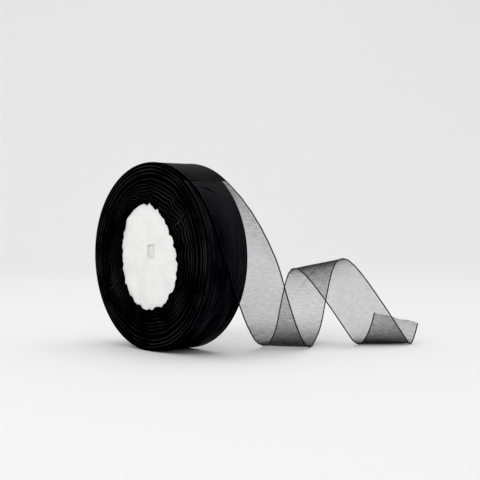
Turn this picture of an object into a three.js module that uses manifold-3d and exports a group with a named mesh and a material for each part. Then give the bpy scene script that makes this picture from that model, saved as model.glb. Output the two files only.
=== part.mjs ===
import * as THREE from "three";
import { mergeVertices } from "three/addons/utils/BufferGeometryUtils.js";
import Module from "manifold-3d";

// A pack of sheer ribbon wound on a foam disc, standing on its rim, with its free end curling away.
// Sizes are in millimetres. X runs to the right, Y from the front face to the back, Z up, and the
// origin is on the floor under the middle of the pack.

const degrees = (value) => (value * Math.PI) / 180;

// Driving dimensions
const RIBBON_WIDTH = 25;
const ROLL_RADIUS = 49.25;
const CORE_RADIUS = 28;
const REST_FLATTENING = 0.25; // the soft pack flattens by this much where it stands

// Ribbon
const THICKNESS = 0.5;
const SELVEDGE = 0.8; // woven border along each edge
const WEAVE_GAP = 0.3; // between the web and its selvedge
const HALF_WIDTH = RIBBON_WIDTH / 2;
const HALF_WEB = HALF_WIDTH - SELVEDGE - WEAVE_GAP;

// Foam disc, with the shallow mark left in its front by the winding machine
const AXIS_HEIGHT = ROLL_RADIUS - REST_FLATTENING;
const CORE_RECESS = 1; // behind each face of the pack
const MARK = { x: 1, z: 2.7, width: 6.8, height: 7.6, corner: 1.5, depth: 1.2 };

// Tape that holds the ribbon's inner end to the disc
const TAPE = { width: 12, thickness: 0.3, from: degrees(-25), to: degrees(25), steps: 12 };

// Bands of wound turns
const TURN_GAP = 0.3;
const CRINKLE = { height: 0.5, waves: 14 }; // the tight first turns are puckered
const INNER_RADIUS = CORE_RADIUS + TAPE.thickness + 2 * TURN_GAP + CRINKLE.height;
const MIDDLE_RADIUS = 35;
const OUTER_RADIUS = 41.5;
const PACK_RADIUS = ROLL_RADIUS - THICKNESS - 0.4;
const ROUND_STEPS = 84;

// The outermost turn has come loose, and slides back before it leaves the pack.
const TURN_RADIUS = ROLL_RADIUS - THICKNESS / 2;
const TAKE_OFF = degrees(37.4); // clockwise from the top, seen from the front
const CREEP = 3;
const CREEP_ARC = degrees(115);
const LOOSE_FROM = degrees(108 - 360); // it comes up out of the pack just below the tail
const LOOSE_STEPS = 72;
const HINGE_GAP = 0.5; // left open on each side of a fold line that can swing

// The free tail as stations along its middle line: distance from the take-off in millimetres, curl in
// degrees per centimetre, and slant in degrees of the straight lines that cross it. Curl and slant
// change evenly from one station to the next.
const TAIL_STATIONS = [
  { at: 0, curl: 0, slant: -1 },
  { at: 12, curl: 12, slant: 25 },
  { at: 24, curl: 5, slant: 42 },
  { at: 36, curl: 11, slant: 49 },
  { at: 48, curl: 18, slant: 45 },
  { at: 60, curl: 13, slant: 33 },
  { at: 72, curl: 4, slant: 22 },
  { at: 84, curl: 8, slant: 18 },
  { at: 96, curl: 9, slant: 17 },
  { at: 108, curl: 14, slant: 18 },
  { at: 114, curl: 12, slant: 14 },
  { at: 120, curl: 22, slant: 5 },
  { at: 126, curl: 22, slant: 0 },
  { at: 132, curl: 10, slant: 1 },
  { at: 138, curl: 12, slant: 6 },
  { at: 144, curl: 24, slant: 13 },
  { at: 150, curl: 33, slant: 20 },
  { at: 156, curl: 29, slant: 24 },
  { at: 168, curl: 10, slant: 25 },
  { at: 180, curl: 36, slant: 21 },
  { at: 186, curl: 46, slant: 22 },
  { at: 192, curl: 43, slant: 25 },
  { at: 198, curl: 35, slant: 25 },
  { at: 204, curl: 28, slant: 22 },
  { at: 216, curl: 16, slant: 15 },
  { at: 228, curl: 7, slant: 18 },
  { at: 240, curl: 6, slant: 27 },
  { at: 246, curl: 20, slant: 34 },
  { at: 252, curl: 42, slant: 39 },
  { at: 258, curl: 65, slant: 32 },
  { at: 264, curl: 72, slant: 16 },
  { at: 270, curl: 73, slant: 4 },
  { at: 276, curl: 56, slant: 4 },
  { at: 288, curl: 17, slant: 14 },
];
const TAIL_LENGTH = 280;
const CREST_AT = 192; // the top of the tail's free-standing loop
const MARCH_STEP = 0.25;
const STEPS_PER_SECTION = 8;

// --- Closed skins ---------------------------------------------------------------------------------

// A skin over a row of four-cornered sections. It ends in a cap at each end, or runs round into itself.
function skin(sections, isRing) {
  const corners = 4;
  const count = sections.length;
  const positions = sections.flat().flatMap((corner) => corner.toArray());
  const triangles = [];
  const spans = isRing ? count : count - 1;
  for (let i = 0; i < spans; i += 1) {
    const here = i * corners;
    const there = ((i + 1) % count) * corners;
    for (let k = 0; k < corners; k += 1) {
      const next = (k + 1) % corners;
      triangles.push(here + k, here + next, there + next);
      triangles.push(here + k, there + next, there + k);
    }
  }
  if (!isRing) {
    const last = (count - 1) * corners;
    triangles.push(0, 2, 1, 0, 3, 2);
    triangles.push(last, last + 1, last + 2, last, last + 2, last + 3);
  }
  const geometry = new THREE.BufferGeometry();
  geometry.setAttribute("position", new THREE.Float32BufferAttribute(positions, 3));
  geometry.setIndex(triangles);
  return geometry;
}

// --- The roll -------------------------------------------------------------------------------------

// A point at a radius and an angle clockwise from the top of the pack.
function aroundAxis(radius, angle, y) {
  return new THREE.Vector3(radius * Math.sin(angle), y, AXIS_HEIGHT + radius * Math.cos(angle));
}

// A ring of wound turns between two radii, the inner one a function of the angle.
function turnsBand(innerRadiusAt, outerRadius) {
  const sections = [];
  for (let i = 0; i < ROUND_STEPS; i += 1) {
    const angle = (2 * Math.PI * i) / ROUND_STEPS;
    const innerRadius = innerRadiusAt(angle);
    sections.push([
      aroundAxis(innerRadius, angle, -HALF_WIDTH),
      aroundAxis(innerRadius, angle, HALF_WIDTH),
      aroundAxis(outerRadius, angle, HALF_WIDTH),
      aroundAxis(outerRadius, angle, -HALF_WIDTH),
    ]);
  }
  return skin(sections, true);
}

function innerTurns() {
  const puckered = (angle) => INNER_RADIUS + CRINKLE.height * Math.sin(CRINKLE.waves * angle);
  return turnsBand(puckered, MIDDLE_RADIUS - TURN_GAP);
}

function middleTurns() {
  return turnsBand(() => MIDDLE_RADIUS, OUTER_RADIUS - TURN_GAP);
}

function outerTurns() {
  return turnsBand(() => OUTER_RADIUS, PACK_RADIUS);
}

function startTape() {
  const sections = [];
  const innerRadius = CORE_RADIUS + TURN_GAP;
  const outerRadius = innerRadius + TAPE.thickness;
  for (let i = 0; i <= TAPE.steps; i += 1) {
    const angle = TAPE.from + ((TAPE.to - TAPE.from) * i) / TAPE.steps;
    sections.push([
      aroundAxis(innerRadius, angle, -TAPE.width / 2),
      aroundAxis(innerRadius, angle, TAPE.width / 2),
      aroundAxis(outerRadius, angle, TAPE.width / 2),
      aroundAxis(outerRadius, angle, -TAPE.width / 2),
    ]);
  }
  return skin(sections, false);
}

function roundedRectangle(width, height, corner) {
  const x = width / 2;
  const y = height / 2;
  const shape = new THREE.Shape();
  shape.moveTo(-x + corner, -y);
  shape.lineTo(x - corner, -y);
  shape.absarc(x - corner, -y + corner, corner, -Math.PI / 2, 0);
  shape.lineTo(x, y - corner);
  shape.absarc(x - corner, y - corner, corner, 0, Math.PI / 2);
  shape.lineTo(-x + corner, y);
  shape.absarc(-x + corner, y - corner, corner, Math.PI / 2, Math.PI);
  shape.lineTo(-x, -y + corner);
  shape.absarc(-x + corner, -y + corner, corner, Math.PI, 1.5 * Math.PI);
  return shape;
}

const wasm = await Module();
wasm.setup();

function toManifold(geometry) {
  const bare = new THREE.BufferGeometry();
  bare.setAttribute("position", geometry.getAttribute("position"));
  if (geometry.index) {
    bare.setIndex(geometry.index);
  }
  const merged = mergeVertices(bare, 1e-4);
  const vertProperties = new Float32Array(merged.getAttribute("position").array);
  const triVerts = new Uint32Array(merged.index.array);
  return new wasm.Manifold(new wasm.Mesh({ numProp: 3, vertProperties, triVerts }));
}

function toGeometry(manifold) {
  const mesh = manifold.getMesh();
  const geometry = new THREE.BufferGeometry();
  geometry.setAttribute("position", new THREE.Float32BufferAttribute(mesh.vertProperties, 3));
  geometry.setIndex(Array.from(mesh.triVerts));
  return geometry;
}

function foamCore() {
  const halfDepth = HALF_WIDTH - CORE_RECESS;
  const disc = new THREE.CylinderGeometry(CORE_RADIUS, CORE_RADIUS, 2 * halfDepth, ROUND_STEPS);
  disc.translate(0, 0, AXIS_HEIGHT);
  const outline = roundedRectangle(MARK.width, MARK.height, MARK.corner);
  const options = { depth: 2 * MARK.depth, bevelEnabled: false, curveSegments: 5 };
  const mark = new THREE.ExtrudeGeometry(outline, options);
  mark.rotateX(Math.PI / 2);
  mark.translate(MARK.x, MARK.depth - halfDepth, AXIS_HEIGHT + MARK.z);
  return toGeometry(toManifold(disc).subtract(toManifold(mark)));
}

// --- The strip of ribbon --------------------------------------------------------------------------

// One section of a lengthwise lane of the strip. A line of the strip holds its middle point, the
// straight line across it per millimetre of width, and the way its inner side faces.
function laneSection(line, fromSide, toSide) {
  const corner = (side, lift) => {
    const point = line.middle.clone().addScaledVector(line.across, side);
    point.addScaledVector(line.inward, lift);
    point.z = Math.max(point.z, 0);
    return point;
  };
  return [
    corner(fromSide, THICKNESS / 2),
    corner(toSide, THICKNESS / 2),
    corner(toSide, -THICKNESS / 2),
    corner(fromSide, -THICKNESS / 2),
  ];
}

function lane(lines, fromSide, toSide) {
  return skin(
    lines.map((line) => laneSection(line, fromSide, toSide)),
    false,
  );
}

function creepAt(angle) {
  const share = Math.max(0, (angle - (TAKE_OFF - CREEP_ARC)) / CREEP_ARC);
  return CREEP * share * share;
}

// The loose turn runs round the pack and ends at the take-off.
function looseTurnLines() {
  const lines = [];
  const to = TAKE_OFF - HINGE_GAP / TURN_RADIUS;
  for (let i = 0; i <= LOOSE_STEPS; i += 1) {
    const angle = LOOSE_FROM + ((to - LOOSE_FROM) * i) / LOOSE_STEPS;
    lines.push({
      middle: aroundAxis(TURN_RADIUS, angle, creepAt(angle)),
      across: new THREE.Vector3(0, 1, 0),
      inward: new THREE.Vector3(-Math.sin(angle), 0, -Math.cos(angle)),
    });
  }
  return lines;
}

function stationAt(distance) {
  const after = TAIL_STATIONS.findIndex((station) => station.at > distance);
  if (after < 0) {
    return TAIL_STATIONS[TAIL_STATIONS.length - 1];
  }
  const next = TAIL_STATIONS[after];
  const last = TAIL_STATIONS[after - 1];
  const share = (distance - last.at) / (next.at - last.at);
  return {
    curl: THREE.MathUtils.lerp(last.curl, next.curl, share),
    slant: THREE.MathUtils.lerp(last.slant, next.slant, share),
  };
}

// The tail never stretches: each short step turns the strip about the straight line across it.
function tailLines() {
  const drift = Math.atan((2 * CREEP) / (CREEP_ARC * TURN_RADIUS));
  const inward = new THREE.Vector3(-Math.sin(TAKE_OFF), 0, -Math.cos(TAKE_OFF));
  const along = new THREE.Vector3(Math.cos(TAKE_OFF), 0, -Math.sin(TAKE_OFF));
  along.multiplyScalar(Math.cos(drift)).add(new THREE.Vector3(0, Math.sin(drift), 0));
  const middle = aroundAxis(TURN_RADIUS, TAKE_OFF, CREEP);
  const lines = [];
  for (let distance = 0; distance <= TAIL_LENGTH; distance += MARCH_STEP) {
    const { curl, slant } = stationAt(distance);
    const sideways = new THREE.Vector3().crossVectors(along, inward);
    const across = sideways.addScaledVector(along, Math.tan(degrees(slant)));
    lines.push({ middle: middle.clone(), across: across.clone(), inward: inward.clone() });
    const turn = degrees(curl / 10) * MARCH_STEP * across.length();
    const axis = across.normalize();
    middle.addScaledVector(along, MARCH_STEP / 2);
    along.applyAxisAngle(axis, turn);
    inward.applyAxisAngle(axis, turn);
    middle.addScaledVector(along, MARCH_STEP / 2);
  }
  return lines;
}

// Every eighth line of a stretch of the tail, and its last one.
function stretch(lines, from, to) {
  const first = Math.round(from / MARCH_STEP);
  const last = Math.round(to / MARCH_STEP);
  const chosen = [];
  for (let i = first; i < last; i += STEPS_PER_SECTION) {
    chosen.push(lines[i]);
  }
  chosen.push(lines[last]);
  return chosen;
}

// --- Materials and nodes --------------------------------------------------------------------------

const foam = () => new THREE.MeshStandardMaterial({ color: 0xf2f2ee, roughness: 0.9 });
const tape = () => new THREE.MeshStandardMaterial({ color: 0xd8d4c4, roughness: 0.5 });
const woundRibbon = () => new THREE.MeshStandardMaterial({ color: 0x0d0d0f, roughness: 0.6 });
const sheerWeb = () => new THREE.MeshStandardMaterial({ color: 0x2b2b2e, roughness: 0.6 });
const wovenEdge = () => new THREE.MeshStandardMaterial({ color: 0x101012, roughness: 0.7 });

function addNode(group, name, geometry, material) {
  const mesh = new THREE.Mesh(geometry, material);
  mesh.name = name;
  group.add(mesh);
}

function addRibbon(group, name, lines) {
  addNode(group, `${name}_web`, lane(lines, -HALF_WEB, HALF_WEB), sheerWeb());
  const inner = HALF_WIDTH - SELVEDGE;
  addNode(group, `${name}_front_selvedge`, lane(lines, -HALF_WIDTH, -inner), wovenEdge());
  addNode(group, `${name}_rear_selvedge`, lane(lines, inner, HALF_WIDTH), wovenEdge());
}

function ribbonSpool() {
  const group = new THREE.Group();
  addNode(group, "foam_core", foamCore(), foam());
  addNode(group, "start_tape", startTape(), tape());
  addNode(group, "inner_turns", innerTurns(), woundRibbon());
  addNode(group, "middle_turns", middleTurns(), woundRibbon());
  addNode(group, "outer_turns", outerTurns(), woundRibbon());
  const tail = tailLines();
  addRibbon(group, "loose_turn", looseTurnLines());
  addRibbon(group, "tail", stretch(tail, HINGE_GAP, CREST_AT - HINGE_GAP));
  addRibbon(group, "tail_end", stretch(tail, CREST_AT + HINGE_GAP, TAIL_LENGTH));
  return group;
}

export default ribbonSpool();
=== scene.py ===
import math

import bpy
import numpy as np
from mathutils import Euler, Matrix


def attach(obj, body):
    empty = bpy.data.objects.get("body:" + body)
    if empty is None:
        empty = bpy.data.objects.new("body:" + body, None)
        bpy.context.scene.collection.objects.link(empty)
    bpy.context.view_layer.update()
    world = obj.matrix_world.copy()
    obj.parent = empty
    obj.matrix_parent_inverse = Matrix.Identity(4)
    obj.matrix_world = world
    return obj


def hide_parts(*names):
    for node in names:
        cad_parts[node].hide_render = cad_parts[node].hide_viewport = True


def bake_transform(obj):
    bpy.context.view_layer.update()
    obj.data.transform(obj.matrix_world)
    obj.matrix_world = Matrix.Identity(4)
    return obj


# A pack of black organza ribbon on a white foam disc, with its free end curling across the floor.
# Shapes are worked out in millimetres, and turned into metres when a mesh is made.
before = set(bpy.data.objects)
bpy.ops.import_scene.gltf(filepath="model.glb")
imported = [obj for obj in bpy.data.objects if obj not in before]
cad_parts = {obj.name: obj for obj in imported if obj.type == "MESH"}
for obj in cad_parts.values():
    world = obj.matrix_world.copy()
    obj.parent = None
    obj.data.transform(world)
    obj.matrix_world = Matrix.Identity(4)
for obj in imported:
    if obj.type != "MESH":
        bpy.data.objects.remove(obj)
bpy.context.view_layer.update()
MM = 0.001
MM_PER_CM = 10

# Driving dimensions, the same as the CAD part's
RIBBON_WIDTH = 25.0
ROLL_RADIUS = 49.25
CORE_RADIUS = 28.0
REST_FLATTENING = 0.25
CAD_THICKNESS = 0.5

# Ribbon
HALF_WIDTH = RIBBON_WIDTH / 2
SELVEDGE = 0.6
SELVEDGE_THICKNESS = 0.25
HALF_WEB = HALF_WIDTH - SELVEDGE / 2  # the web runs half way into each selvedge
AXIS_HEIGHT = ROLL_RADIUS - REST_FLATTENING
TURN_RADIUS = ROLL_RADIUS - CAD_THICKNESS / 2

# The bands of wound turns
START_GAP = 0.15  # between the wound turns and the outermost one, where that starts
TAKE_OFF_GAP = 0.4  # and where it leaves the pack
PACK_RADIUS = TURN_RADIUS - TAKE_OFF_GAP
EDGE_RADIUS = 25.7  # the middle of the puckered edge that hangs over the disc
MIDDLE_FROM = 34.85
OUTER_FROM = 41.35
BAND_RADII = {
    "inner_turns": (EDGE_RADIUS, MIDDLE_FROM),
    "middle_turns": (MIDDLE_FROM, OUTER_FROM),
    "outer_turns": (OUTER_FROM, PACK_RADIUS),
}
INNER_STEPS = 720  # steps round the innermost band, which has the finest folds
OUTER_STEPS = 540  # and round the others
BAND_GAP = 0.05
TURN_PITCH = 0.22  # one edge is drawn for about two real turns
CORE_RECESS = 1.0
LAP_GAP = 0.2  # between the disc's faces and the turns that lap over them
WALL_SHARES = (0.03, 0.2, 0.5, 0.8, 0.97)  # rows of points across a band's rim
WALL_RADIUS = CORE_RADIUS + 0.8  # clears the tape on the disc
WALL_GAP = 0.2  # the puckered edge stays at least this far inside that

# The free tail, as in the CAD part
TAKE_OFF = math.radians(37.4)
CREEP = 3.0
CREEP_ARC = math.radians(115)
LOOSE_FROM = TAKE_OFF - 2 * math.pi
LOOSE_STEP = 1.0  # degrees
TAIL_STATIONS = (  # distance in mm, curl in degrees per cm, slant in degrees
    (0, 0, -1), (12, 12, 25), (24, 5, 42), (36, 11, 49), (48, 18, 45), (60, 13, 33), (72, 4, 22),
    (84, 8, 18), (96, 9, 17), (108, 14, 18), (114, 12, 14), (120, 22, 5), (126, 22, 0), (132, 10, 1),
    (138, 12, 6), (144, 24, 13), (150, 33, 20), (156, 29, 24), (168, 10, 25), (180, 36, 21),
    (186, 46, 22), (192, 43, 25), (198, 35, 25), (204, 28, 22), (216, 16, 15), (228, 7, 18),
    (240, 6, 27), (246, 20, 34), (252, 42, 39), (258, 65, 32), (264, 72, 16), (270, 73, 4), (276, 56, 4),
    (288, 17, 14),
)
TAIL_LENGTH = 280.0
MARCH_STEP = 0.25

# Where the tail is split for its two hinges
ROOT_END = 24.0
CREST_AT = 192.0
CREST_HALF = 12.0

# The grid of a stretch of ribbon: the length of a row, and the columns across its web and a selvedge
ROW = 0.5
FINE_ROW = 0.25
WEB_COLUMNS = 32
FINE_WEB_COLUMNS = 64
SELVEDGE_COLUMNS = 2

FLOOR_CLEARANCE = 0.05

rng = np.random.default_rng(11)


# --- Meshes ---------------------------------------------------------------------------------------

def make_object(name, points, faces, uv=None, values=None):
    """A smooth-shaded mesh from points in millimetres, with a UV map and named point values."""
    mesh = bpy.data.meshes.new(name)
    mesh.from_pydata((np.asarray(points) * MM).tolist(), [], faces)
    if uv is not None:
        layer = mesh.uv_layers.new(name="Weave")
        corners = np.zeros(len(mesh.loops), np.int32)
        mesh.loops.foreach_get("vertex_index", corners)
        layer.data.foreach_set("uv", np.asarray(uv, np.float32)[corners].ravel())
    for key, value in (values or {}).items():
        attribute = mesh.attributes.new(key, "FLOAT", "POINT")
        attribute.data.foreach_set("value", np.asarray(value, np.float32))
    mesh.shade_smooth()
    made = bpy.data.objects.new(name, mesh)
    bpy.context.scene.collection.objects.link(made)
    return made


def grid_faces(rows, columns, wrap_rows=False, wrap_columns=False):
    """Quads over a grid of points stored row by row."""
    faces = []
    for i in range(rows if wrap_rows else rows - 1):
        here = i * columns
        there = ((i + 1) % rows) * columns
        for j in range(columns if wrap_columns else columns - 1):
            k = (j + 1) % columns
            faces.append((here + j, here + k, there + k, there + j))
    return faces


def smooth_step(share):
    """0 up to a share of 0 and 1 from a share of 1, with a soft rise between them."""
    share = np.clip(share, 0, 1)
    return share * share * (3 - 2 * share)


def waves(at, table, wave=np.sin):
    """The sum of a table's waves, each with a height, a rate in radians and a phase."""
    return sum(height * wave(rate * at + phase) for height, rate, phase in table)


# --- Wound turns ----------------------------------------------------------------------------------

# A wave is given by its height, its rate in radians and its phase.

# The puckered edge over the disc: a rough oval, with scallops and a fine fringe
EDGE_OVAL = ((1.9, 2, 0.62), (1.3, 1, 2.0), (0.9, 3, 7.32))
EDGE_FRINGE = ((0.35, 23, 1.1), (0.22, 41, 2.0))
SCALLOPS = 17
SCALLOP_MEAN = 0.75
SCALLOP_WAVES = ((0.55, 2, 0.5),)  # how much higher and lower they are round the edge
SCALLOP_SPACING = ((1.4, 3, 0.5),)  # how unevenly they are spaced
SCALLOP_ROUNDING = 0.8
SCALLOP_FOOT = 0.6
EDGE_FADE = 6.0  # the shape of the inner edge dies away outwards over this distance
EDGE_FADE_POWER = 1.3

# The turns' edges ripple more and more towards the disc: waves per turn, share, phase, drift per mm
RIPPLES = (
    (7, 0.25, 0.4, 0.03),
    (13, 0.45, 2.1, -0.05),
    (17, 0.45, 4.4, 0.06),
    (23, 0.32, 1.3, -0.08),
    (37, 0.14, 5.2, 0.06),
)
RIPPLE_LEAST = 0.05
RIPPLE_MOST = 1.25
RIPPLE_GROWTH = 1.5
RIPPLE_FADE = 3.0  # ripples start and end over this distance at the pack's two edges

# Crushed patches: angle and half angle in degrees, radius and half radius
CRUSHED = ((-116, 9, 35, 4), (54, 5, 33, 6))
CRUSH_SPACING = math.radians(3.6)
CRUSH_DEPTH = 0.25
CRUSH_STRAY = 0.25  # how far the creases push a turn's edge in and out
CRUSH_PAINTED_HIGHLIGHT = 0.5  # how much painted highlight the crests of the creases get
CRUSH_LEAN = 0.35  # radians per mm
CRUSH_SWAY_ROUND = ((1.6, 29, 0),)
CRUSH_SWAY_OUT = ((0.8, 1.1, 0),)

# How far each turn's edge stands out: a random walk from turn to turn, levelled, and some scatter
WALK_STEP = 0.09
WALK_SPAN = 25  # turns that the walk is levelled over
WALK_SHARE = 0.4
OUT_SCATTER = 0.04
OUT_MOST = 0.25

# How much painted highlight each turn's edge gets, standing in for the light it would catch: most get
# hardly any, and a few are proud of the rest
PROUD_MEAN = -0.06
PROUD_SCATTER = 0.08
PROUD_TURNS = (43.1, 45.0, 46.9)  # the three proudest, near the rim
PROUD_START = 0.9  # the others start this far out from the inner edge
PROUD_LIMIT = 1.0  # and end this far in from the first of the three
PROUD_SPACING = (1.1, 2.6)
PROUD_HEIGHT = (0.4, 1.0)
PROUD_NEXT = 0.5  # how much painted highlight the turn outside a proud one gets, for its height
PROUD_OUT = 0.45  # how far a proud turn stands out, for its height

# The whole face rocks in and out near the disc
ROCK_HEIGHT = 0.4
ROCK_WAVES = 17
ROCK_DRIFT = 0.2  # radians per mm
ROCK_SPACING = ((1.5, 4, 0),)
FACE_LEAST = -0.45
FACE_MOST = 0.9

# The back face has the same kind of folds at other angles
BACK_SHIFT = 2.4
BACK_SHIFT_FROM = 30.0  # the shift dies away outwards from here
BACK_SHIFT_FADE = 4.0


def inner_edge(angle):
    """The radius of the puckered edge that hangs over the disc."""
    height = SCALLOP_MEAN + waves(angle, SCALLOP_WAVES, np.cos)
    phase = SCALLOPS / 2 * angle + waves(angle, SCALLOP_SPACING)
    scallops = height * np.abs(np.sin(phase)) ** SCALLOP_ROUNDING - SCALLOP_FOOT
    radius = EDGE_RADIUS + waves(angle, EDGE_OVAL, np.cos) + scallops + waves(angle, EDGE_FRINGE)
    return np.minimum(radius, WALL_RADIUS - WALL_GAP)


def outness(turn):
    """0 at the inner edge and 1 at the rim."""
    return np.clip((turn - EDGE_RADIUS) / (PACK_RADIUS - EDGE_RADIUS), 0, 1)


def crushed(turn, angle):
    """Radial creases in the crushed patches, from -1 to 1."""
    total = 0
    for centre, half_angle, middle, half_radius in CRUSHED:
        away = np.angle(np.exp(1j * (angle - math.radians(centre)))) / math.radians(half_angle)
        off = (turn - middle) / half_radius
        patch = np.exp(-away**2 - off**2)
        sway = CRUSH_LEAN * (turn - middle) + waves(angle, CRUSH_SWAY_ROUND) + waves(turn, CRUSH_SWAY_OUT)
        total = total + patch * np.sin(2 * math.pi * angle / CRUSH_SPACING + sway)
    return total


def strayed(turn, angle):
    """The radius of a turn's edge: a circle at the rim, taking on the inner edge's shape further in."""
    ripple = 0
    for count, share, phase, drift in RIPPLES:
        ripple = ripple + share * np.sin(count * angle + phase + drift * (turn - EDGE_RADIUS))
    height = RIPPLE_LEAST + (RIPPLE_MOST - RIPPLE_LEAST) * (1 - outness(turn)) ** RIPPLE_GROWTH
    starting = smooth_step((turn - EDGE_RADIUS) / RIPPLE_FADE)
    ending = smooth_step((PACK_RADIUS - turn) / RIPPLE_FADE)
    pushed = height * ripple + CRUSH_STRAY * crushed(turn, angle)
    fade = np.exp(-((turn - EDGE_RADIUS) / EDGE_FADE) ** EDGE_FADE_POWER)
    return turn + pushed * starting * ending + (inner_edge(angle) - EDGE_RADIUS) * fade


def turn_layout():
    """For each turn of the pack, how far its edge stands out, and its painted highlight from 0 to 1."""
    radii = np.arange(EDGE_RADIUS, PACK_RADIUS + TURN_PITCH, TURN_PITCH)
    count = len(radii)
    walk = np.cumsum(rng.normal(0, WALK_STEP, count))
    walk = walk - np.convolve(walk, np.ones(WALK_SPAN) / WALK_SPAN, "same")
    out = np.clip(WALK_SHARE * walk + rng.normal(0, OUT_SCATTER, count), -OUT_MOST, OUT_MOST)
    # Painted highlight share of each turn's edge: most get hardly any.
    painted_highlight = np.clip(rng.normal(PROUD_MEAN, PROUD_SCATTER, count), 0, 1)
    chosen = [(turn, 1.0) for turn in PROUD_TURNS]
    at = EDGE_RADIUS + PROUD_START
    while at < PROUD_TURNS[0] - PROUD_LIMIT:
        chosen.append((at, rng.uniform(*PROUD_HEIGHT)))
        at += rng.uniform(*PROUD_SPACING)
    for turn, height in chosen:
        nearest = int(round((turn - EDGE_RADIUS) / TURN_PITCH))
        painted_highlight[nearest] = height
        painted_highlight[nearest + 1] = max(PROUD_NEXT * height, painted_highlight[nearest + 1])
        out[nearest] += PROUD_OUT * height
    return radii, out, painted_highlight


TURN_RADII, TURN_OUT, TURN_PAINTED_HIGHLIGHT = turn_layout()


def face_height(turn, angle):
    """How far the face of the pack stands out at a turn, in millimetres."""
    out = np.interp(turn, TURN_RADII, TURN_OUT)
    phase = ROCK_WAVES * angle + ROCK_DRIFT * turn + waves(angle, ROCK_SPACING)
    rock = ROCK_HEIGHT * (1 - outness(turn)) ** 2 * np.sin(phase)
    return np.clip(out + rock + CRUSH_DEPTH * crushed(turn, angle), FACE_LEAST, FACE_MOST)


def ring(radius, angle, y):
    """Places round the pack's axis. Angles start at the top and run towards +X."""
    return np.stack([radius * np.sin(angle), y + 0 * radius, AXIS_HEIGHT + radius * np.cos(angle)], -1)


def band_side(inner, outer, angles, side):
    """One face of a band: each point's turn, its place and its painted highlight.

    side is -1 for the front face and 1 for the back face.
    """
    count = round((outer - inner) / TURN_PITCH)
    turn, angle = np.meshgrid(np.linspace(inner, outer, count + 1), angles)
    if side > 0:
        angle_of_folds = angle + BACK_SHIFT * (1 - smooth_step((turn - BACK_SHIFT_FROM) / BACK_SHIFT_FADE))
    else:
        angle_of_folds = angle
    radius = strayed(turn, angle_of_folds)
    y = side * (HALF_WIDTH + face_height(turn, angle_of_folds))
    crests = np.maximum(0, crushed(turn, angle_of_folds))
    # Painted highlight: the proud turns and the crests of the crushed creases get a lighter colour.
    painted_highlight = np.interp(turn, TURN_RADII, TURN_PAINTED_HIGHLIGHT) + CRUSH_PAINTED_HIGHLIGHT * crests
    return turn, ring(radius, angle, y), painted_highlight


def wound_band(name, inner, outer):
    """A closed ring of wound turns. The innermost band also laps over the disc's two faces."""
    laps = inner == EDGE_RADIUS
    steps = INNER_STEPS if laps else OUTER_STEPS
    angles = np.linspace(0, 2 * math.pi, steps, endpoint=False)
    first = inner if laps else inner + BAND_GAP
    last = outer - BAND_GAP
    turn_front, front, painted_highlight_front = band_side(first, last, angles, -1)
    turn_back, back, painted_highlight_back = band_side(first, last, angles, 1)
    places, turns, painted_highlight = [front], [turn_front], [painted_highlight_front]

    def wall(radius, turn, y):
        places.append(ring(radius + 0 * angles, angles, y)[:, None, :])
        turns.append(np.full((steps, 1), turn))
        painted_highlight.append(np.zeros((steps, 1)))

    for share in WALL_SHARES:
        wall(strayed(last, angles), last, (2 * share - 1) * HALF_WIDTH)
    places.append(back[:, ::-1])
    turns.append(turn_back[:, ::-1])
    painted_highlight.append(painted_highlight_back[:, ::-1])
    if laps:
        under = HALF_WIDTH - CORE_RECESS + LAP_GAP
        wall(inner_edge(angles + BACK_SHIFT), first, under)
        wall(WALL_RADIUS, first, under)
        wall(WALL_RADIUS, first, -under)
        wall(inner_edge(angles), first, -under)
    else:
        for share in WALL_SHARES[::-1]:
            wall(strayed(first, angles), first, (2 * share - 1) * HALF_WIDTH)
    points = np.concatenate(places, 1)
    rows, columns = points.shape[:2]
    values = {"turn": np.concatenate(turns, 1).ravel(), "painted_highlight": np.concatenate(painted_highlight, 1).ravel()}
    faces = grid_faces(rows, columns, True, True)
    return make_object(name, points.reshape(-1, 3), faces, None, values)


# --- The strip of ribbon --------------------------------------------------------------------------

# Relief, in millimetres: soft unevenness all over, and a wavy edge on each side
SOFT_HEIGHT = 0.08
SOFT_RATE = 0.31  # radians per mm along the ribbon
SOFT_BEND = ((0.9, 0.21, 0),)
SOFT_ACROSS = 0.17
SOFT_SLANT = 0.05
EDGE_WAVE_HEIGHT = 0.08
EDGE_WAVE_RATE = 0.9
EDGE_WAVE_SLANT = 0.7
EDGE_WAVE_POWER = 3
RELIEF_FROM = 12.0  # the relief rises to its full height over this distance from the take-off

# Two folds in the tail: each start and end is a distance and a side
PUCKER = {"start": (6.5, -9.0), "end": (11.0, -0.5), "width": 0.7, "height": -0.5}
CREASE = {"start": (164.0, -8.0), "end": (187.0, 3.0), "width": 0.9, "height": 0.6}
FOLD_ENDS = 0.3  # the share of its length over which a fold dies away at each end

# Where the threads lie closer, under the crest and at the last fold: distance, half width, extra share
BUNCHES = ((184, 13, 0.45), (259, 11, 2.1))
UV_SCALE = 0.01  # UV units per millimetre

# The cut end of the tail
CUT_SHORT = 0.5
CUT_WAVES = ((0.35, 0.55, 0.6), (0.12, 1.7, 0))


def creep_at(angle):
    """How far the outermost turn has crept backwards along the axis as it nears the take-off."""
    share = np.maximum(0, (angle - (TAKE_OFF - CREEP_ARC)) / CREEP_ARC)
    return CREEP * share**2


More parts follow.
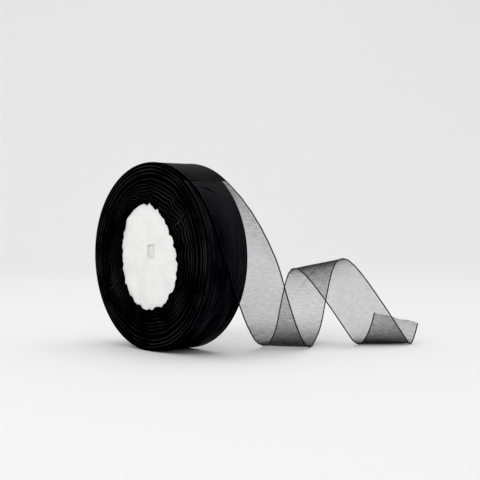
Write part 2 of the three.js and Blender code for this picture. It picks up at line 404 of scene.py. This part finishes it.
def loose_lines():
    """Straight lines across the outermost turn, which rises clear of the pack as it nears the take-off."""
    angles = np.radians(np.arange(math.degrees(LOOSE_FROM), math.degrees(TAKE_OFF), LOOSE_STEP))
    angles = np.append(angles, TAKE_OFF)
    risen = smooth_step((angles - LOOSE_FROM) / (2 * math.pi))
    radius = PACK_RADIUS + START_GAP + (TAKE_OFF_GAP - START_GAP) * risen
    return {
        "distance": (angles - TAKE_OFF) * TURN_RADIUS,
        "middle": ring(radius, angles, creep_at(angles)),
        "across": np.tile((0.0, 1.0, 0.0), (len(angles), 1)),
        "inward": np.stack([-np.sin(angles), 0 * angles, -np.cos(angles)], -1),
        "slant": 0 * angles,
    }


def turned_about(vector, axis, angle):
    """The vector turned about an axis of length 1."""
    return (
        vector * math.cos(angle)
        + np.cross(axis, vector) * math.sin(angle)
        + axis * np.dot(axis, vector) * (1 - math.cos(angle))
    )


def tail_lines():
    """Straight lines across the tail. Each short step turns the strip about the line across it."""
    at, curls, slants = np.array(TAIL_STATIONS, float).T
    drift = math.atan(2 * CREEP / (CREEP_ARC * TURN_RADIUS))
    inward = np.array([-math.sin(TAKE_OFF), 0.0, -math.cos(TAKE_OFF)])
    along = np.array([math.cos(TAKE_OFF), 0.0, -math.sin(TAKE_OFF)]) * math.cos(drift)
    along = along + np.array([0.0, math.sin(drift), 0.0])
    middle = ring(np.array(TURN_RADIUS), np.array(TAKE_OFF), np.array(CREEP))
    lines = {"distance": [], "middle": [], "across": [], "inward": [], "slant": []}
    for distance in np.arange(0, TAIL_LENGTH + MARCH_STEP, MARCH_STEP):
        slant = math.tan(math.radians(np.interp(distance, at, slants)))
        across = np.cross(along, inward) + along * slant
        stored = (distance, middle, across, inward, slant)
        for key, value in zip(lines, stored):
            lines[key].append(value)
        length = np.linalg.norm(across)
        turn = math.radians(np.interp(distance, at, curls) / MM_PER_CM) * MARCH_STEP * length
        middle = middle + along * MARCH_STEP / 2
        along = turned_about(along, across / length, turn)
        inward = turned_about(inward, across / length, turn)
        middle = middle + along * MARCH_STEP / 2
    return {key: np.array(value) for key, value in lines.items()}


def on_line(lines, key, distance):
    """A value of the lines across the strip, at any distance along it."""
    values = lines[key]
    if values.ndim == 1:
        return np.interp(distance, lines["distance"], values)
    parts = [np.interp(distance, lines["distance"], values[:, k]) for k in range(3)]
    return np.stack(parts, -1)


def ridge(distance, side, start, end, width, height):
    """A soft straight fold from start to end, each a distance and a side, in millimetres."""
    start = np.array(start)
    reach = np.array(end) - start
    length = np.linalg.norm(reach)
    way = reach / length
    along = (distance - start[0]) * way[0] + (side - start[1]) * way[1]
    off = (side - start[1]) * way[0] - (distance - start[0]) * way[1]
    fade = FOLD_ENDS * length
    ends = smooth_step(along / fade) * smooth_step((length - along) / fade)
    return height * ends * np.exp(-(off / width) ** 2)


def relief(distance, side):
    """How far the ribbon stands off its smooth curve, towards its inner side."""
    soft = np.sin(SOFT_RATE * distance + waves(side, SOFT_BEND))
    soft = soft * np.cos(SOFT_ACROSS * side + SOFT_SLANT * distance)
    edge = np.sin(EDGE_WAVE_RATE * distance + EDGE_WAVE_SLANT * side)
    edge = edge * (np.abs(side) / HALF_WIDTH) ** EDGE_WAVE_POWER
    uneven = (SOFT_HEIGHT * soft + EDGE_WAVE_HEIGHT * edge) * smooth_step(distance / RELIEF_FROM)
    return uneven + ridge(distance, side, **PUCKER) + ridge(distance, side, **CREASE)


def bunched(distance):
    """How many times closer the threads lie than in the flat ribbon."""
    total = 1
    for at, width, extra in BUNCHES:
        total = total + extra * np.exp(-(((distance - at) / width) ** 2))
    return total


def strip(name, lines, distance, side, thickness=0.0):
    """A strip over grids of distances and sides: one sheet, or a closed body if it has a thickness."""
    middle = on_line(lines, "middle", distance)
    across = on_line(lines, "across", distance)
    inward = on_line(lines, "inward", distance)
    slant = on_line(lines, "slant", distance)
    rows, columns = distance.shape
    centre = middle + across * side[..., None] + inward * relief(distance, side)[..., None]
    uv = np.stack([distance + side * slant, side], -1) * UV_SCALE
    if thickness:
        top = centre + inward * thickness / 2
        bottom = centre - inward * thickness / 2
        points = np.concatenate([top, bottom[:, ::-1]], 1)
        uv = np.concatenate([uv, uv[:, ::-1]], 1)
        faces = grid_faces(rows, 2 * columns, False, True)
        last = (rows - 1) * 2 * columns
        faces.append(tuple(range(2 * columns - 1, -1, -1)))
        faces.append(tuple(last + k for k in range(2 * columns)))
    else:
        points = centre
        faces = grid_faces(rows, columns)
    points = points.reshape(-1, 3)
    points[:, 2] = np.maximum(points[:, 2], FLOOR_CLEARANCE)
    values = {"bunched": bunched(uv[..., 0] / UV_SCALE).ravel()}
    return make_object(name, points, faces, uv.reshape(-1, 2), values)


def cut_end(side):
    """How far short of its full length the tail is cut at each side."""
    return CUT_SHORT + waves(side, CUT_WAVES)


def lane_grid(start, end, from_side, to_side, columns, row, is_cut):
    """Grids of distances and sides over one lane of a stretch."""
    sides = np.linspace(from_side, to_side, columns + 1)
    rows = int(round((end - start) / row))
    share = np.linspace(0, 1, rows + 1)
    ends = end - cut_end(sides) if is_cut else np.full(columns + 1, end)
    distance = start + share[:, None] * (ends - start)[None, :]
    return distance, np.tile(sides, (rows + 1, 1))


# --- Materials ------------------------------------------------------------------------------------

WOUND_DARK = (0.009, 0.009, 0.0091)
# Painted highlight colour for the proud edges of the wound turns
WOUND_PAINTED_HIGHLIGHT = (0.042, 0.042, 0.043)
OUTER_THREAD = (0.0072, 0.0072, 0.0076)
SHEER_THREAD = (0.018, 0.018, 0.019)
SELVEDGE_DARK = (0.004, 0.004, 0.004)
SELVEDGE_LIGHT = (0.024, 0.024, 0.025)
FOAM_DARK = (0.1, 0.1, 0.1)
FOAM_LIGHT = (0.9, 0.9, 0.89)
TAPE_DARK = (0.62, 0.58, 0.46)
TAPE_LIGHT = (0.74, 0.7, 0.58)
STAGE_TONE = (0.9, 0.9, 0.9)

THREAD_DENSITY = 0.37  # how much of the light the flat web stops, as an exponent
SLANT_CLOSING = 1.5  # how fast the threads close up as the ribbon is seen at a slant
SLOPE_LEAST = 0.12  # they close up no further than at this slope
CLEAR_OF_PACK = 0.2  # painted shade darkens the tail near the take-off, where it lies against the pack; from here on it has its full colour, in decimetres from the take-off
PRESSED_DEPTH = 0.0109  # nearer the middle of the disc than this, in metres, is the pressed mark's floor


class Nodes:
    """A short way to write a material's node tree."""

    def __init__(self, name):
        self.material = bpy.data.materials.new(name)
        self.material.use_nodes = True
        self.tree = self.material.node_tree
        self.tree.nodes.clear()
        self.shader = self.add("ShaderNodeBsdfPrincipled")
        out = self.add("ShaderNodeOutputMaterial")
        self.tree.links.new(self.shader.outputs[0], out.inputs["Surface"])

    def add(self, kind, **settings):
        node = self.tree.nodes.new(kind)
        for key, value in settings.items():
            setattr(node, key, value)
        return node

    def put(self, socket, value):
        if isinstance(value, bpy.types.NodeSocket):
            self.tree.links.new(value, socket)
        else:
            socket.default_value = value

    def fill(self, node, **values):
        """Set or link a node's inputs. Where an input's name has a space, its key has an underscore."""
        for name, value in values.items():
            self.put(node.inputs[name.replace("_", " ")], value)
        return node

    def shade(self, **values):
        self.fill(self.shader, **values)

    def math(self, operation, first, second=0.0, clamp=False):
        node = self.add("ShaderNodeMath", operation=operation, use_clamp=clamp)
        self.put(node.inputs[0], first)
        self.put(node.inputs[1], second)
        return node.outputs[0]

    def times(self, first, second):
        return self.math("MULTIPLY", first, second)

    def spread(self, value, to, over=(0.0, 1.0)):
        """Map a value from one range to another, and hold it inside that."""
        node = self.add("ShaderNodeMapRange")
        self.fill(node, Value=value, From_Min=over[0], From_Max=over[1], To_Min=to[0], To_Max=to[1])
        return node.outputs["Result"]

    def colour(self, share, first, second):
        """A colour between the two, at a share of 0 to 1."""
        node = self.add("ShaderNodeMix", data_type="RGBA")
        self.put(node.inputs["Factor"], share)
        ends = {"A": (*first, 1), "B": (*second, 1)}
        for socket in node.inputs:
            if socket.type == "RGBA":
                socket.default_value = ends[socket.name]
        return [socket for socket in node.outputs if socket.type == "RGBA"][0]

    def weave(self):
        """Where a point lies on the flat ribbon, in decimetres along it and across it."""
        return self.add("ShaderNodeUVMap", uv_map="Weave").outputs[0]

    def place(self):
        return self.add("ShaderNodeTexCoord").outputs["Object"]

    def value(self, name):
        return self.add("ShaderNodeAttribute", attribute_name=name).outputs["Fac"]

    def part(self, vector, axis):
        return self.fill(self.add("ShaderNodeSeparateXYZ"), Vector=vector).outputs[axis]

    def noise(self, vector, scale, detail, stretch=(1, 1, 1), distortion=0.0):
        mapping = self.fill(self.add("ShaderNodeMapping"), Scale=stretch, Vector=vector)
        node = self.add("ShaderNodeTexNoise")
        self.fill(node, Vector=mapping.outputs[0], Scale=scale, Detail=detail, Distortion=distortion)
        return node.outputs["Fac"]

    def bump(self, height, strength, distance):
        node = self.fill(self.add("ShaderNodeBump"), Strength=strength, Distance=distance, Height=height)
        self.shade(Normal=node.outputs[0])


def scaled(colour, by):
    return tuple(by * channel for channel in colour)


def wound_material(name):
    """Stacked selvedges: near black, with a painted highlight on the proud turns' edges along part of the
    turn, and faint random thread lines.
    """
    nodes = Nodes(name)
    place = nodes.place()
    fade = nodes.spread(nodes.noise(place, scale=70, detail=2), to=(0.25, 1.0), over=(0.38, 0.6))
    fine = nodes.add("ShaderNodeTexNoise", noise_dimensions="1D")
    nodes.fill(fine, W=nodes.value("turn"), Scale=2.2, Detail=1.0)
    threads = nodes.spread(fine.outputs["Fac"], to=(0.0, 0.04), over=(0.5, 0.75))
    # Painted highlight: the proud edges get the lighter colour, standing in for the light they catch; the
    # thread lines add faint random tone.
    lines = nodes.math("ADD", nodes.value("painted_highlight"), threads)
    lit = nodes.math("MULTIPLY", lines, fade, clamp=True)
    rough = nodes.spread(nodes.noise(place, scale=900, detail=1), to=(0.5, 0.7))
    nodes.shade(Base_Color=nodes.colour(lit, WOUND_DARK, WOUND_PAINTED_HIGHLIGHT))
    nodes.shade(Roughness=rough, Specular_IOR_Level=0.005)
    return nodes.material


def lengthwise_streaks(nodes, weave):
    return nodes.noise(weave, scale=60, detail=2, stretch=(0.04, 1.6, 1))


def outer_turn_material():
    """Organza lying on many more turns of it, too dense to see through."""
    nodes = Nodes("outer_turn")
    weave = nodes.weave()
    streaks = nodes.spread(lengthwise_streaks(nodes, weave), to=(0.2, 1.0), over=(0.35, 0.65))
    cloud = nodes.noise(weave, scale=14, detail=2, stretch=(0.4, 0.8, 1))
    lit = nodes.times(streaks, nodes.spread(cloud, to=(0.4, 1.0), over=(0.38, 0.66)))
    nodes.shade(Base_Color=nodes.colour(lit, OUTER_THREAD, scaled(OUTER_THREAD, 3.0)))
    nodes.shade(Roughness=nodes.spread(cloud, to=(0.42, 0.5)), Specular_IOR_Level=0.014)
    return nodes.material


def sheer_alpha(nodes, density):
    """How much the threads hide: more where they are dense, and where the ribbon is seen at a slant."""
    facing = nodes.fill(nodes.add("ShaderNodeLayerWeight"), Blend=0.5)
    slope = nodes.math("SUBTRACT", 1.0, facing.outputs["Facing"])
    closing = nodes.math("POWER", nodes.math("MAXIMUM", slope, SLOPE_LEAST), -SLANT_CLOSING)
    path = nodes.times(nodes.times(density, -THREAD_DENSITY), closing)
    return nodes.math("SUBTRACT", 1.0, nodes.math("POWER", math.e, path), clamp=True)


def sheer_material():
    """Organza: crosswise rows and lengthwise streaks of fine dark thread, with painted shade near the
    take-off where it lies against the pack.
    """
    nodes = Nodes("sheer_web")
    weave = nodes.weave()
    rows = nodes.noise(weave, scale=170, detail=1, stretch=(1.0, 0.14, 1))
    streaks = lengthwise_streaks(nodes, weave)
    cloud = nodes.noise(weave, scale=9, detail=2)
    wave = nodes.add("ShaderNodeTexWave", bands_direction="X")
    nodes.fill(wave, Vector=weave, Scale=26, Distortion=6.0, Detail=1.0, Detail_Scale=0.6)
    density = nodes.times(nodes.spread(rows, to=(0.74, 1.26), over=(0.3, 0.7)), nodes.value("bunched"))
    density = nodes.times(density, nodes.spread(streaks, to=(0.86, 1.14)))
    density = nodes.times(density, nodes.spread(cloud, to=(0.85, 1.15)))
    density = nodes.times(density, nodes.spread(wave.outputs["Fac"], to=(0.87, 1.13)))
    # Painted shade: the threads are darker near the take-off, where the tail lies against the pack, and
    # lighter once clear of it.
    clear = nodes.spread(nodes.part(weave, "X"), to=(0.0, 1.0), over=(0.0, CLEAR_OF_PACK))
    lit = nodes.times(clear, nodes.spread(streaks, to=(0.3, 1.0), over=(0.35, 0.6)))
    nodes.shade(Base_Color=nodes.colour(lit, SHEER_THREAD, scaled(SHEER_THREAD, 1.9)))
    nodes.shade(Alpha=sheer_alpha(nodes, density))
    nodes.shade(Roughness=nodes.spread(rows, to=(0.36, 0.56)), Specular_IOR_Level=0.03)
    return nodes.material


def selvedge_material():
    """A tightly woven edge: short slanting threads."""
    nodes = Nodes("selvedge")
    twill = nodes.noise(nodes.weave(), scale=130, detail=1, stretch=(0.5, 2.2, 1), distortion=0.4)
    lit = nodes.spread(twill, to=(0, 1), over=(0.3, 0.7))
    nodes.shade(Base_Color=nodes.colour(lit, SELVEDGE_DARK, SELVEDGE_LIGHT))
    nodes.shade(Roughness=nodes.spread(twill, to=(0.5, 0.75)), Specular_IOR_Level=0.06)
    return nodes.material


def foam_material():
    """Pressed foam beads: faint cells and soft dents, with painted shade on the recessed floor of the
    pressed mark.
    """
    nodes = Nodes("foam")
    place = nodes.place()
    cells = nodes.add("ShaderNodeTexVoronoi", feature="DISTANCE_TO_EDGE")
    nodes.fill(cells, Vector=place, Scale=420)
    seams = nodes.spread(cells.outputs["Distance"], to=(0.0, 1.0), over=(0.0, 0.22))
    dents = nodes.noise(place, scale=110, detail=3)
    seam_tone = nodes.spread(seams, to=(0.94, 1.0))
    dent_tone = nodes.spread(dents, to=(0.93, 1.05), over=(0.3, 0.7))
    tone = nodes.times(seam_tone, dent_tone)
    # Painted shade: the recessed floor of the pressed mark is made darker.
    depth = nodes.math("ABSOLUTE", nodes.part(place, "Y"))
    shaded_mark_floor = nodes.math("LESS_THAN", depth, PRESSED_DEPTH)
    tone = nodes.times(tone, nodes.spread(shaded_mark_floor, to=(1.0, 0.9)))
    nodes.shade(Base_Color=nodes.colour(tone, FOAM_DARK, FOAM_LIGHT))
    nodes.shade(Roughness=nodes.spread(dents, to=(0.75, 0.95)), Specular_IOR_Level=0.3)
    height = nodes.math("ADD", nodes.times(seams, 0.35), dents)
    nodes.bump(height, strength=0.35, distance=0.0006)
    return nodes.material


def tape_material():
    """Cream paper tape with its crepe lines."""
    nodes = Nodes("paper_tape")
    crepe = nodes.noise(nodes.place(), scale=700, detail=2, stretch=(1, 0.2, 1))
    nodes.shade(Base_Color=nodes.colour(crepe, TAPE_DARK, TAPE_LIGHT))
    nodes.shade(Roughness=nodes.spread(crepe, to=(0.5, 0.75)))
    nodes.bump(crepe, strength=0.3, distance=0.0003)
    return nodes.material


def stage_material():
    """A pale matt floor, very slightly uneven in tone."""
    nodes = Nodes("pale_floor")
    grain = nodes.noise(nodes.place(), scale=3, detail=2)
    nodes.shade(Base_Color=nodes.colour(grain, scaled(STAGE_TONE, 0.99), STAGE_TONE))
    nodes.shade(Roughness=0.9, Specular_IOR_Level=0.1)
    return nodes.material


# --- Pieces ---------------------------------------------------------------------------------------

def finish_piece(piece, material, cad_nodes):
    piece.data.materials.append(material)
    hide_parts(*cad_nodes)


def add_wound_pack():
    for name, (inner, outer) in BAND_RADII.items():
        piece = wound_band(name + "_edges", inner, outer)
        finish_piece(piece, wound_material(name), [name])
        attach(piece, "roll")


def paint_cad_piece(name, material):
    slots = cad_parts[name].data.materials
    slots.clear()
    slots.append(material)


def add_stretch(name, lines, start, end, cad, materials, settle,
                is_fine=False, is_cut=False):
    """The web and two selvedges of one stretch of ribbon, each handed to settle, which attaches it to a
    body or fixes it where it is.
    """
    row = FINE_ROW if is_fine else ROW
    columns = FINE_WEB_COLUMNS if is_fine else WEB_COLUMNS
    inner = HALF_WIDTH - SELVEDGE

    def lane(part, from_side, to_side, columns, thickness=0.0):
        grid = lane_grid(start, end, from_side, to_side, columns, row, is_cut)
        return strip(f"{name}_{part}", lines, *grid, thickness)

    web = lane("web", -HALF_WEB, HALF_WEB, columns)
    front = lane("front_selvedge", -HALF_WIDTH, -inner, SELVEDGE_COLUMNS, SELVEDGE_THICKNESS)
    rear = lane("rear_selvedge", inner, HALF_WIDTH, SELVEDGE_COLUMNS, SELVEDGE_THICKNESS)
    web_material, edge_material = materials
    finish_piece(web, web_material, [f"{body}_web" for body in cad])
    finish_piece(front, edge_material, [f"{body}_front_selvedge" for body in cad])
    finish_piece(rear, edge_material, [f"{body}_rear_selvedge" for body in cad])
    for piece in (web, front, rear):
        settle(piece)


def add_ribbon():
    """The outermost turn and the tail, split into stretches at its two hinges."""
    loose = loose_lines()
    tail = tail_lines()
    edge = selvedge_material()
    turn_looks = (outer_turn_material(), edge)
    tail_looks = (sheer_material(), edge)

    crease = on_line(tail, "across", np.array(CREST_AT))
    inward = on_line(tail, "inward", np.array(CREST_AT))
    over_crest = np.cross(inward, crease)
    over_crest = over_crest / np.linalg.norm(over_crest)

    def ride_on(body):
        return lambda piece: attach(piece, body)

    def bend_at_take_off(piece):
        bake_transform(piece)

    def bend_at_crest(piece):
        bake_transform(piece)

    first = float(loose["distance"][0])
    before_crest = CREST_AT - CREST_HALF
    after_crest = CREST_AT + CREST_HALF
    add_stretch("outer_turn", loose, first, 0.0, ["loose_turn"], turn_looks,
                ride_on("loose_turn"))
    add_stretch("take_off", tail, 0.0, ROOT_END, ["tail"], tail_looks,
                bend_at_take_off, is_fine=True)
    add_stretch("long_curl", tail, ROOT_END, before_crest, ["tail"], tail_looks,
                ride_on("tail"))
    add_stretch("crest", tail, before_crest, after_crest, ["tail", "tail_end"], tail_looks,
                bend_at_crest)
    add_stretch("last_curl", tail, after_crest, TAIL_LENGTH, ["tail_end"], tail_looks,
                ride_on("tail_end"), is_cut=True)


# --- Room, light and camera -----------------------------------------------------------------------

# The floor and the backdrop it curves up into, in millimetres from under the pack
FLOOR_WIDTH = 12000.0
FLOOR_FRONT = -8000.0
BACKDROP = 1600.0
BACKDROP_HEIGHT = 2400.0
BACKDROP_BEND = 800.0
BEND_STEPS = 12

WORLD_LIGHT = 0.72
BLACK_POINT = 0.009  # linear light that still shows as black

# In metres from under the pack, and in radians from the pack's front
CAMERA_PLACE = (0.4168, -0.3238, 0.069)
CAMERA_AZIMUTH = math.radians(48)
CAMERA_PITCH = math.radians(-1.25)


def add_room():
    """A pale floor that curves up into a backdrop, square to the camera."""
    bend_from = BACKDROP - BACKDROP_BEND
    profile = [(FLOOR_FRONT, 0.0), (bend_from, 0.0)]
    for step in range(1, BEND_STEPS + 1):
        angle = math.pi / 2 * step / BEND_STEPS
        further = BACKDROP_BEND * math.sin(angle)
        higher = BACKDROP_BEND * (1 - math.cos(angle))
        profile.append((bend_from + further, higher))
    profile.append((BACKDROP, BACKDROP_HEIGHT))
    points = [(side * FLOOR_WIDTH / 2, y, z) for y, z in profile for side in (-1, 1)]
    turn = np.array(Euler((0, 0, CAMERA_AZIMUTH)).to_matrix())
    floor = make_object("floor", np.array(points) @ turn.T, grid_faces(len(profile), 2))
    floor.data.materials.append(stage_material())


def add_area_light(name, azimuth, elevation, distance, size, power):
    """A round lamp that faces the pack. Its azimuth, in degrees, is counted from the camera's."""
    a = CAMERA_AZIMUTH + math.radians(azimuth)
    e = math.radians(elevation)
    light = bpy.data.lights.new(name, "AREA")
    light.shape = "DISK"
    light.size = size
    light.energy = power
    holder = bpy.data.objects.new(name, light)
    holder.location = (
        distance * math.sin(a) * math.cos(e),
        -distance * math.cos(a) * math.cos(e),
        distance * math.sin(e),
    )
    holder.rotation_euler = Euler((math.pi / 2 - e, 0, a))
    bpy.context.scene.collection.objects.link(holder)


def add_light():
    """An even white surround and two lamps, shown with a slightly raised black point."""
    world = bpy.data.worlds.new("studio")
    world.use_nodes = True
    background = world.node_tree.nodes["Background"]
    background.inputs["Color"].default_value = (1, 1, 1, 1)
    background.inputs["Strength"].default_value = WORLD_LIGHT
    bpy.context.scene.world = world
    add_area_light("overhead", azimuth=130, elevation=82, distance=1.6, size=1.3, power=5.0)
    add_area_light("left_front", azimuth=-40, elevation=40, distance=1.8, size=0.9, power=7.0)
    display = bpy.context.scene.view_settings
    display.view_transform = "Standard"
    display.use_curve_mapping = True
    display.curve_mapping.black_level = (BLACK_POINT, BLACK_POINT, BLACK_POINT)
    display.curve_mapping.update()


def add_camera():
    camera = bpy.data.objects.new("camera", bpy.data.cameras.new("camera"))
    camera.data.lens = 75
    camera.data.sensor_width = 36
    camera.data.clip_start = 0.01
    camera.location = CAMERA_PLACE
    camera.rotation_euler = Euler((math.pi / 2 + CAMERA_PITCH, 0, CAMERA_AZIMUTH))
    bpy.context.scene.collection.objects.link(camera)
    bpy.context.scene.camera = camera


paint_cad_piece("foam_core", foam_material())
paint_cad_piece("start_tape", tape_material())
add_wound_pack()
add_ribbon()
add_room()
add_light()
add_camera()
